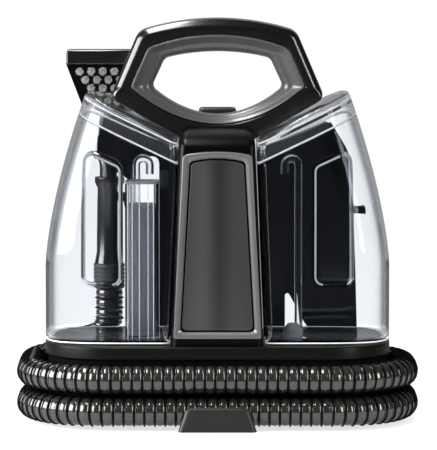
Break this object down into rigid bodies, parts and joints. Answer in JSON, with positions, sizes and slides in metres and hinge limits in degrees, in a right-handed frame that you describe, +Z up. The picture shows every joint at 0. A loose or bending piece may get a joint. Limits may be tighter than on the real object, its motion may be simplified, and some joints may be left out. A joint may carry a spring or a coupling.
{
  "type": "portable spot extractor",
  "caption": "Portable spot carpet extractor with clear side tanks, a loop carry handle and a ribbed suction hose wound round its base.",
  "frame": {"origin": "on the floor under the middle of the machine, at the bottom centre of the machine without its hose", "axes": "+Z up, -Y to the front panel, +X to the right as seen from the front"},
  "size_m": [0.3522, 0.2086, 0.3525],
  "materials": {
    "black_plastic": "smooth black moulded plastic",
    "grey_trim": "satin grey paint on plastic",
    "panel_grey": "satin dark grey plate",
    "clear_plastic": "clear moulded plastic",
    "hose_plastic": "ribbed flexible plastic",
    "rubber": "soft black rubber",
    "float_grey": "grey moulded plastic",
    "bristle": "pale nylon strands",
    "steel": "plain steel"
  },
  "bodies": {
    "machine": {"base_tray": "black_plastic", "bottom_plate": "black_plastic", "foot_front_left": "rubber", "foot_front_right": "rubber", "foot_rear_left": "rubber", "foot_rear_right": "rubber", "hose_coil": "hose_plastic", "hose_riser": "hose_plastic", "hose_outlet": "black_plastic", "hose_lip": "black_plastic", "housing_front": "black_plastic", "housing_rear": "black_plastic", "handle_trim": "grey_trim", "front_bezel": "grey_trim", "front_panel": "panel_grey", "exhaust_grille": "black_plastic", "motor_cradle": "black_plastic", "vacuum_motor": "steel", "fan_case": "black_plastic", "solution_pump": "black_plastic", "pump_pipe": "rubber", "switch_block": "black_plastic", "cord_gland": "rubber", "rear_pillar": "black_plastic", "cord_hook": "black_plastic", "wand_clip": "black_plastic", "wand_grip": "black_plastic", "trigger_pin": "steel", "wand_neck": "black_plastic", "hose_cuff": "rubber"},
    "recovery_tank_body": {"recovery_tank": "clear_plastic", "recovery_lid": "clear_plastic", "hook_tube": "clear_plastic", "standpipe": "clear_plastic", "recovery_seal": "rubber"},
    "float_body": {"float": "float_grey"},
    "solution_tank_body": {"solution_tank": "clear_plastic", "solution_lid": "clear_plastic", "solution_hook_tube": "clear_plastic", "solution_valve": "float_grey"},
    "button_body": {"power_button": "grey_trim"},
    "impeller_body": {"impeller": "steel", "impeller_shaft": "steel"},
    "trigger_body": {"wand_trigger": "black_plastic"},
    "tool": {"tool_body": "black_plastic", "tool_cover": "black_plastic", "tool_brush": "bristle", "spray_tip": "steel"}
  },
  "joints": [
    {"name": "recovery_tank_slide", "type": "slide", "parent": "machine", "child": "recovery_tank_body", "axis": [-1, 0, 0], "range_m": [0, 0.16]},
    {"name": "float_rise", "type": "slide", "parent": "recovery_tank_body", "child": "float_body", "axis": [0, 0, 1], "range_m": [0, 0.0155]},
    {"name": "solution_tank_slide", "type": "slide", "parent": "machine", "child": "solution_tank_body", "axis": [1, 0, 0], "range_m": [0, 0.16]},
    {"name": "power_button_press", "type": "slide", "parent": "machine", "child": "button_body", "axis": [0, 0, -1], "range_m": [0, 0.003], "stiffness_N_per_m": 1500},
    {"name": "impeller_spin", "type": "hinge", "parent": "machine", "child": "impeller_body", "pos_m": [0, 0, 0.2], "axis": [0, 0, 1], "continuous": true},
    {"name": "trigger_squeeze", "type": "hinge", "parent": "machine", "child": "trigger_body", "pos_m": [-0.0815, 0.0903, 0.188], "axis": [0, 1, 0], "range_deg": [0, 8], "stiffness_Nm_per_rad": 0.6},
    {"name": "tool_pull_off", "type": "slide", "parent": "machine", "child": "tool", "axis": [0, 0, 1], "range_m": [0, 0.05]}
  ]
}
